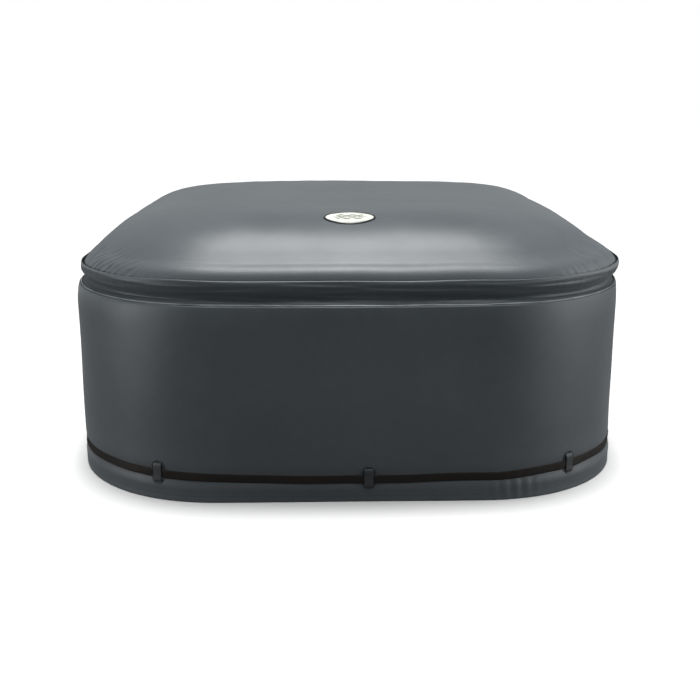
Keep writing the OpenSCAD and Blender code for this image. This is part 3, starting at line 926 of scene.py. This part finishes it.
def build_strap(context):
    """The strap, its keepers and the badge, which lie on the fabric."""
    o = Outline()
    gap = 0.030
    s = np.linspace(o.quarter + gap - o.length, o.quarter - gap, 1500)
    mid = strap_height(o, s)
    lift = np.full_like(s, 0.0006)
    for place in keeper_places(o):
        lift = np.maximum(lift, 0.0024 * step(1 - (np.abs(o.wrap(s - place)) - 0.024) / 0.05))
    lift = np.maximum(lift, 0.0024 * step(1 - (np.abs(o.wrap(s - o.quarter)) - 0.30) / 0.12))
    width = STRAP_W / 2
    section = [(-width, 0.0), (-width, 0.0011), (-width + 0.0008, 0.0015), (-0.006, 0.0016), (0.006, 0.0016),
               (width - 0.0008, 0.0015), (width, 0.0011), (width, 0.0), (0.006, -0.0001), (-0.006, -0.0001)]
    curl = 0.0008 * ripple(51, (0.25,), s)
    base = wall_shift(o, s, mid)
    rings = [o.point(s, base + lift + out + curl * (across / width), mid + across) for across, out in section]
    piece = tube_mesh("strap_webbing", np.stack(rings, axis=1)[:, ::-1], material("webbing"), loop=False)
    place_piece(piece, BODY, ["strap"])
    build_keepers(o)
    build_badge()


def stadium(count, width, height, inset=0.0):
    """Points round an upright stadium."""
    r = width / 2 - inset
    tall = (height - width) / 2
    a = np.linspace(0, 2 * math.pi, count, endpoint=False)
    return r * np.cos(a), r * np.sin(a) + tall * np.sign(np.sin(a) + 1e-9)


# A keeper's patch: inset from its outline and distance outside the skirt, from the back edge to the face
PATCH_SECTION = [
    (0.0, 0.0002), (0.0, 0.0014), (0.0008, 0.0021), (0.0026, 0.0022), (0.0036, 0.0014),
    (0.009, 0.0013), (0.016, 0.0013), (0.0205, 0.0013),
]
# A keeper's bridge: distance above the strap's middle and outside the skirt, up the face and down the back
BRIDGE_FACE = [
    (-0.0255, 0.0012), (-0.0235, 0.0026), (-0.0215, 0.0044), (-0.0180, 0.0056), (-0.0120, 0.0062),
    (0.0, 0.0063), (0.0140, 0.0062), (0.0225, 0.0060), (0.0285, 0.0050), (0.0318, 0.0026), (0.0335, 0.0012),
]
BRIDGE_BACK = [
    (0.0300, 0.0012), (0.0280, 0.0024), (0.0262, 0.0036), (0.0215, 0.0044), (0.0140, 0.0046),
    (0.0, 0.0046), (-0.0120, 0.0045), (-0.0180, 0.0034), (-0.0205, 0.0012),
]
# Across the bridge: distance from its middle, and how much its edge is eased
BRIDGE_WIDTH = [
    (-0.0130, 0.7), (-0.0122, 0.25), (-0.0105, 0.0), (0.0, 0.0), (0.0105, 0.0), (0.0122, 0.25), (0.0130, 0.7),
]


def end_faces(rows, cols, base=0):
    """The two flat ends of a grid of closed rings."""
    last = base + (rows - 1) * cols
    return [tuple(range(last, last + cols)), tuple(range(base, base + cols))[::-1]]


def build_keepers(o):
    """Moulded patches, each with a raised rim and a bridge over the strap."""
    for number, place in enumerate(keeper_places(o), 1):
        middle = float(strap_height(o, np.array([place]))[0])
        rings = []
        for inset, out in PATCH_SECTION:
            x, z = stadium(KEEPER_STEPS, KEEPER_W, KEEPER_H, inset)
            z = z + middle + KEEPER_UP
            rings.append(o.point(place + x, wall_shift(o, place + x, z) + out, z))
        patch = np.concatenate(rings)
        faces = [tuple(f) for f in grid_faces(len(rings), KEEPER_STEPS, True)]
        faces += end_faces(len(rings), KEEPER_STEPS)
        rise, out = np.array(BRIDGE_FACE + BRIDGE_BACK).T
        z = middle + rise
        base = wall_shift(o, np.full_like(z, place), z)
        eased = 0.0006 * (out > 0.003) * (np.arange(len(out)) < len(BRIDGE_FACE))
        arch = np.stack([o.point(place + x, base + out - eased * ease, z) for x, ease in BRIDGE_WIDTH])
        faces += [tuple(f) for f in grid_faces(len(arch), len(z), True, base=len(patch))]
        faces += end_faces(len(arch), len(z), len(patch))
        points = np.concatenate([patch, arch.reshape(-1, 3)])
        piece = new_mesh(f"keeper_moulding_{number}", points, faces, material("keeper"))
        place_piece(piece, BODY, [f"keeper_{number}"])


def lid_height(o, x, y):
    """Height of the crown at a place near the front's middle."""
    r = o.side_r - SEAM_IN
    k = r * r - o.side_c ** 2
    t = (-o.side_c * y + np.sqrt((o.side_c * y) ** 2 + k * (x * x + y * y))) / k
    return crown(t, shape().crown_power)


def badge_points(o, a, b, lift):
    """An oval on the crown round the badge's middle."""
    angle = np.linspace(0, 2 * math.pi, BADGE_STEPS, endpoint=False)
    x = a * np.cos(angle)
    y = BADGE_Y + b * np.sin(angle)
    return np.stack([x, y, lid_height(o, x, y) + lift], axis=-1)


def build_badge():
    """Oval badge: a dark rounded frame, a pale satin face and a plain raised motif of three waves."""
    o = Outline()
    a = (BADGE_HIGH[0] - BADGE_LOW[0]) / 2
    b = (BADGE_HIGH[1] - BADGE_LOW[1]) / 2
    section = [(0.0060, 0.0004), (0.0, 0.0004), (-0.0001, 0.0018), (0.0008, 0.0029), (0.0025, 0.0037),
               (0.0045, 0.0038), (0.0062, 0.0031), (0.0069, 0.0022)]
    rings = np.stack([badge_points(o, a - inset, b - inset, lift) for inset, lift in section], axis=1)
    rim = tube_mesh("badge_frame", rings[:, ::-1], material("badge_rim"))
    place_piece(rim, BODY, ["badge_rim"])
    a, b = a - BADGE_FRAME_W, b - BADGE_FRAME_W
    grid = [badge_points(o, a, b, 0.0005)]
    for t in (1.0, 0.97, 0.8, 0.55, 0.3, 0.08):
        grid.append(badge_points(o, a * t, b * t, 0.0024 + 0.0006 * (1 - t * t)))
    faces = [tuple(f) for f in grid_faces(len(grid), BADGE_STEPS, True)]
    faces += end_faces(len(grid), BADGE_STEPS)
    plate = new_mesh("badge_plate_face", grid, faces, material("badge_face"))
    place_piece(plate, BODY, ["badge_plate"])
    build_badge_waves(o)


def build_badge_waves(o):
    """The badge's motif: three raised waves that taper to their ends."""
    for number, (up, half) in enumerate(((0.013, 0.040), (0.0, 0.048), (-0.013, 0.040)), 1):
        x = np.linspace(-half, half, 60)
        y = BADGE_Y + up + 0.0042 * np.sin(2 * math.pi * x / 0.032)
        thick = 0.0023 * np.sqrt(np.maximum(0.02, 1 - (x / half) ** 4))
        rings = []
        for side, lift in ((-1.0, 0.0024), (-0.8, 0.0036), (0.8, 0.0036), (1.0, 0.0024)):
            edge = y + side * thick
            rings.append(np.stack([x, edge, lid_height(o, x, edge) + lift], axis=-1))
        rings = np.stack(rings, axis=1)[:, ::-1]
        place_piece(tube_mesh(f"badge_wave_{number}", rings, material("badge_rim"), loop=False), BODY)


def build_flap(context):
    """The flap's fabric over the hose opening; its bound edge is the frame's binding."""
    o = Outline()
    half = FLAP_HALF_S
    s = o.length / 2 + np.linspace(-half, half, 121)
    z = np.linspace(FLAP_LOW[2] + 0.0008, FLAP_HIGH[2], 61)[:, None]
    calm_edge = step((half - np.abs(s - o.length / 2)) / 0.05) * step((FLAP_HIGH[2] - z) / 0.03)
    face = FLAP_FACE + 0.0012 * ripple(61, (0.4, 0.3), s[None, :], z) * calm_edge
    outer = o.point(s, face, z)
    inner = o.point(s, face - shape().fabric, z)
    piece = sheet_mesh("flap_fabric", outer, inner, material("fabric"))
    place_piece(piece, FLAP_BODY, ["hose_flap"])


def build_bladder(context):
    """The air bladder inside the lid: a crowned pad with round edges."""
    o = Outline()
    s, t = lid_grid(o, 81, 0.5)
    share = t * BLADDER_REACH
    top = np.minimum(crown(share, side_power(o, s)) - 0.0150, BLADDER_TOP - 0.0005)
    low = BLADDER_LOW + 0.0006
    edge = np.sqrt(1 - np.clip((t - 0.90) / 0.10, 0, 1) ** 2)
    x, y = o.at(s, -SEAM_IN)
    x, y = x * share, y * share
    over_valve = np.hypot(x - VALVE[0], y - VALVE[1]) < 0.03
    upper = np.stack([x, y, low + (top - low) * edge + 0.0004], axis=-1)
    lower = np.stack([x, y, np.where(over_valve, low + 0.0004, low)], axis=-1)
    piece = sheet_mesh("bladder", upper, lower, material("film"))
    place_piece(piece, BODY, ["air_bladder"])


def build_fittings(context):
    """Finished materials for the pieces that the frame already shapes: tapes, zip, valve and buckle."""
    for key, nodes in FITTINGS.items():
        for node in nodes:
            dress(node, key)


FITTINGS = {
    "tape": ["seam_tape_left", "seam_tape_right", "opening_binding", "flap_binding", "flap_hinge_tape"],
    "hooks": ["hook_strips", "loop_strips"],
    "webbing": ["strap_end_loop", "strap_tail", "tail_loop", "flap_tab"],
    "buckle": ["buckle_socket", "buckle_plug", "prong_upper", "prong_lower"],
    "underside": ["lid_liner"],
    "zip_tape": ["zip_tapes"],
    "coil": ["zip_coil"],
    "metal": ["zip_slider", "zip_pull"],
    "valve": ["valve_body", "valve_cap"],
}


# ---- Stage ----------------------------------------------------------------------------------------

def area_light(name, place, aim, width, height, power):
    """Soft rectangular panel at a place, aimed at a point and unseen by the camera."""
    data = bpy.data.lights.new(name, "AREA")
    data.shape = "RECTANGLE"
    data.size = width
    data.size_y = height
    data.energy = power
    lamp = bpy.data.objects.new(name, data)
    lamp.location = place
    lamp.rotation_euler = (Vector(aim) - Vector(place)).to_track_quat("-Z", "Y").to_euler()
    lamp.visible_camera = False
    bpy.context.scene.collection.objects.link(lamp)


def sun_light(name, elevation, angle, strength):
    """Distant light at an elevation in degrees from the front, above 90 when it comes from behind."""
    data = bpy.data.lights.new(name, "SUN")
    data.energy = strength
    data.angle = math.radians(angle)
    lamp = bpy.data.objects.new(name, data)
    tilt = math.radians(elevation)
    lamp.rotation_euler = Vector((0, -math.cos(tilt), math.sin(tilt))).to_track_quat("Z", "Y").to_euler()
    bpy.context.scene.collection.objects.link(lamp)


def build_world(fill):
    """A white room to look at, dim in what it lights."""
    world = bpy.data.worlds.new("studio")
    bpy.context.scene.world = world
    world.use_nodes = True
    tree = world.node_tree
    dim = tree.nodes["Background"]
    dim.inputs["Color"].default_value = (0.95, 0.98, 1.0, 1)
    dim.inputs["Strength"].default_value = fill
    white = tree.nodes.new("ShaderNodeBackground")
    white.inputs["Color"].default_value = (1, 1, 1, 1)
    mix = tree.nodes.new("ShaderNodeMixShader")
    tree.links.new(tree.nodes.new("ShaderNodeLightPath").outputs["Is Camera Ray"], mix.inputs[0])
    tree.links.new(dim.outputs[0], mix.inputs[1])
    tree.links.new(white.outputs[0], mix.inputs[2])
    tree.links.new(mix.outputs[0], tree.nodes["World Output"].inputs["Surface"])


def build_stage(context):
    """The floor, the lights and the camera."""
    studio = context.scene.spa_cover_studio
    context.scene.view_settings.view_transform = "Standard"
    build_world(studio.fill)
    half = 30.0
    floor = new_mesh("studio_floor", [(-half, -half, 0), (half, -half, 0), (half, half, 0), (-half, half, 0)],
                     [(0, 1, 2, 3)], material("floor"))
    floor.visible_diffuse = False
    floor.visible_glossy = False
    sun_light("ceiling", 97.4, 16, studio.sky)
    sun_light("key", 75, 24, studio.key)
    area_light("back", (0, 5.0, 2.6), (0, 0, 0.6), 7.0, 2.4, studio.back)
    area_light("left", (-3.4, -0.3, 1.3), (-0.6, 0, 0.4), 2.2, 2.0, studio.left)
    area_light("right", (3.4, -0.3, 1.3), (0.6, 0, 0.4), 2.2, 2.0, studio.right)
    area_light("left_low", (-3.2, -1.6, 0.6), (-0.6, -0.4, 0.3), 1.4, 0.9, studio.left_low)
    area_light("right_low", (3.2, -1.6, 0.6), (0.6, -0.4, 0.3), 1.4, 0.9, studio.right_low)
    camera = bpy.data.cameras.new("camera")
    camera.lens = studio.lens
    camera.sensor_width = 36.0
    view = bpy.data.objects.new("camera", camera)
    c, d = math.cos(studio.turn), math.sin(studio.turn)
    view.location = (c * studio.aside + d * studio.distance, d * studio.aside - c * studio.distance,
                     studio.height)
    view.rotation_euler = (math.pi / 2 - studio.pitch, 0, studio.turn)
    context.scene.collection.objects.link(view)
    context.scene.camera = view


# ---- Operators ------------------------------------------------------------------------------------

class SPACOVER_OT_lid(bpy.types.Operator):
    """Makes the crowned fabric of the lid"""
    bl_idname = "spa_cover.lid"
    bl_label = "Lid"

    def execute(self, context):
        build_lid(context)
        return {"FINISHED"}


class SPACOVER_OT_band(bpy.types.Operator):
    """Makes the recessed band under the lid's seam"""
    bl_idname = "spa_cover.band"
    bl_label = "Band"

    def execute(self, context):
        build_band(context)
        return {"FINISHED"}


class SPACOVER_OT_piping(bpy.types.Operator):
    """Makes the piping round the rim"""
    bl_idname = "spa_cover.piping"
    bl_label = "Piping"

    def execute(self, context):
        build_piping(context)
        return {"FINISHED"}


class SPACOVER_OT_skirt(bpy.types.Operator):
    """Hangs the skirt's fabric"""
    bl_idname = "spa_cover.skirt"
    bl_label = "Skirt"

    def execute(self, context):
        build_skirt(context)
        return {"FINISHED"}


class SPACOVER_OT_liner(bpy.types.Operator):
    """Makes the quilted foil liner behind the skirt"""
    bl_idname = "spa_cover.liner"
    bl_label = "Liner"

    def execute(self, context):
        build_liner(context)
        return {"FINISHED"}


class SPACOVER_OT_strap(bpy.types.Operator):
    """Makes the strap, its keepers and the badge"""
    bl_idname = "spa_cover.strap"
    bl_label = "Strap and badge"

    def execute(self, context):
        build_strap(context)
        return {"FINISHED"}


class SPACOVER_OT_flap(bpy.types.Operator):
    """Makes the flap over the hose opening"""
    bl_idname = "spa_cover.flap"
    bl_label = "Hose flap"

    def execute(self, context):
        build_flap(context)
        return {"FINISHED"}


class SPACOVER_OT_bladder(bpy.types.Operator):
    """Makes the air bladder inside the lid"""
    bl_idname = "spa_cover.bladder"
    bl_label = "Air bladder"

    def execute(self, context):
        build_bladder(context)
        return {"FINISHED"}


class SPACOVER_OT_fittings(bpy.types.Operator):
    """Gives the tapes, the zip, the valve and the buckle their materials"""
    bl_idname = "spa_cover.fittings"
    bl_label = "Fittings"

    def execute(self, context):
        build_fittings(context)
        return {"FINISHED"}


class SPACOVER_OT_stage(bpy.types.Operator):
    """Sets up the floor, the lights and the camera"""
    bl_idname = "spa_cover.stage"
    bl_label = "Stage"

    def execute(self, context):
        build_stage(context)
        return {"FINISHED"}


PIECES = ("lid", "band", "piping", "skirt", "liner", "strap", "flap", "bladder", "fittings")


class SPACOVER_PT_panel(bpy.types.Panel):
    """Sliders and steps of the spa cover"""
    bl_idname = "SPACOVER_PT_panel"
    bl_label = "Spa cover"
    bl_space_type = "VIEW_3D"
    bl_region_type = "UI"
    bl_category = "Spa cover"

    def draw(self, context):
        layout = self.layout
        for title, name in (("Shape", "shape"), ("Colours", "colours"), ("Studio", "studio")):
            box = layout.box()
            box.label(text=title)
            group = getattr(context.scene, "spa_cover_" + name)
            for key in group.__annotations__:
                box.prop(group, key)
        for name in ("stage",) + PIECES:
            layout.operator("spa_cover." + name)


CLASSES = (
    SPACOVER_PG_shape, SPACOVER_PG_colours, SPACOVER_PG_studio,
    SPACOVER_OT_stage, SPACOVER_OT_lid, SPACOVER_OT_band, SPACOVER_OT_piping, SPACOVER_OT_skirt,
    SPACOVER_OT_liner, SPACOVER_OT_strap, SPACOVER_OT_flap, SPACOVER_OT_bladder, SPACOVER_OT_fittings,
    SPACOVER_PT_panel,
)


def register():
    """Makes the classes known and hangs their values on the scene."""
    for cls in CLASSES:
        bpy.utils.register_class(cls)
    bpy.types.Scene.spa_cover_shape = PointerProperty(type=SPACOVER_PG_shape)
    bpy.types.Scene.spa_cover_colours = PointerProperty(type=SPACOVER_PG_colours)
    bpy.types.Scene.spa_cover_studio = PointerProperty(type=SPACOVER_PG_studio)


def unregister():
    """Takes the classes and their values away again."""
    for name in ("shape", "colours", "studio"):
        delattr(bpy.types.Scene, "spa_cover_" + name)
    for cls in reversed(CLASSES):
        bpy.utils.unregister_class(cls)


def main():
    """Builds the studio and every piece."""
    register()
    bpy.ops.spa_cover.stage()
    for name in PIECES:
        getattr(bpy.ops.spa_cover, name)()


if __name__ == "__main__":
    main()
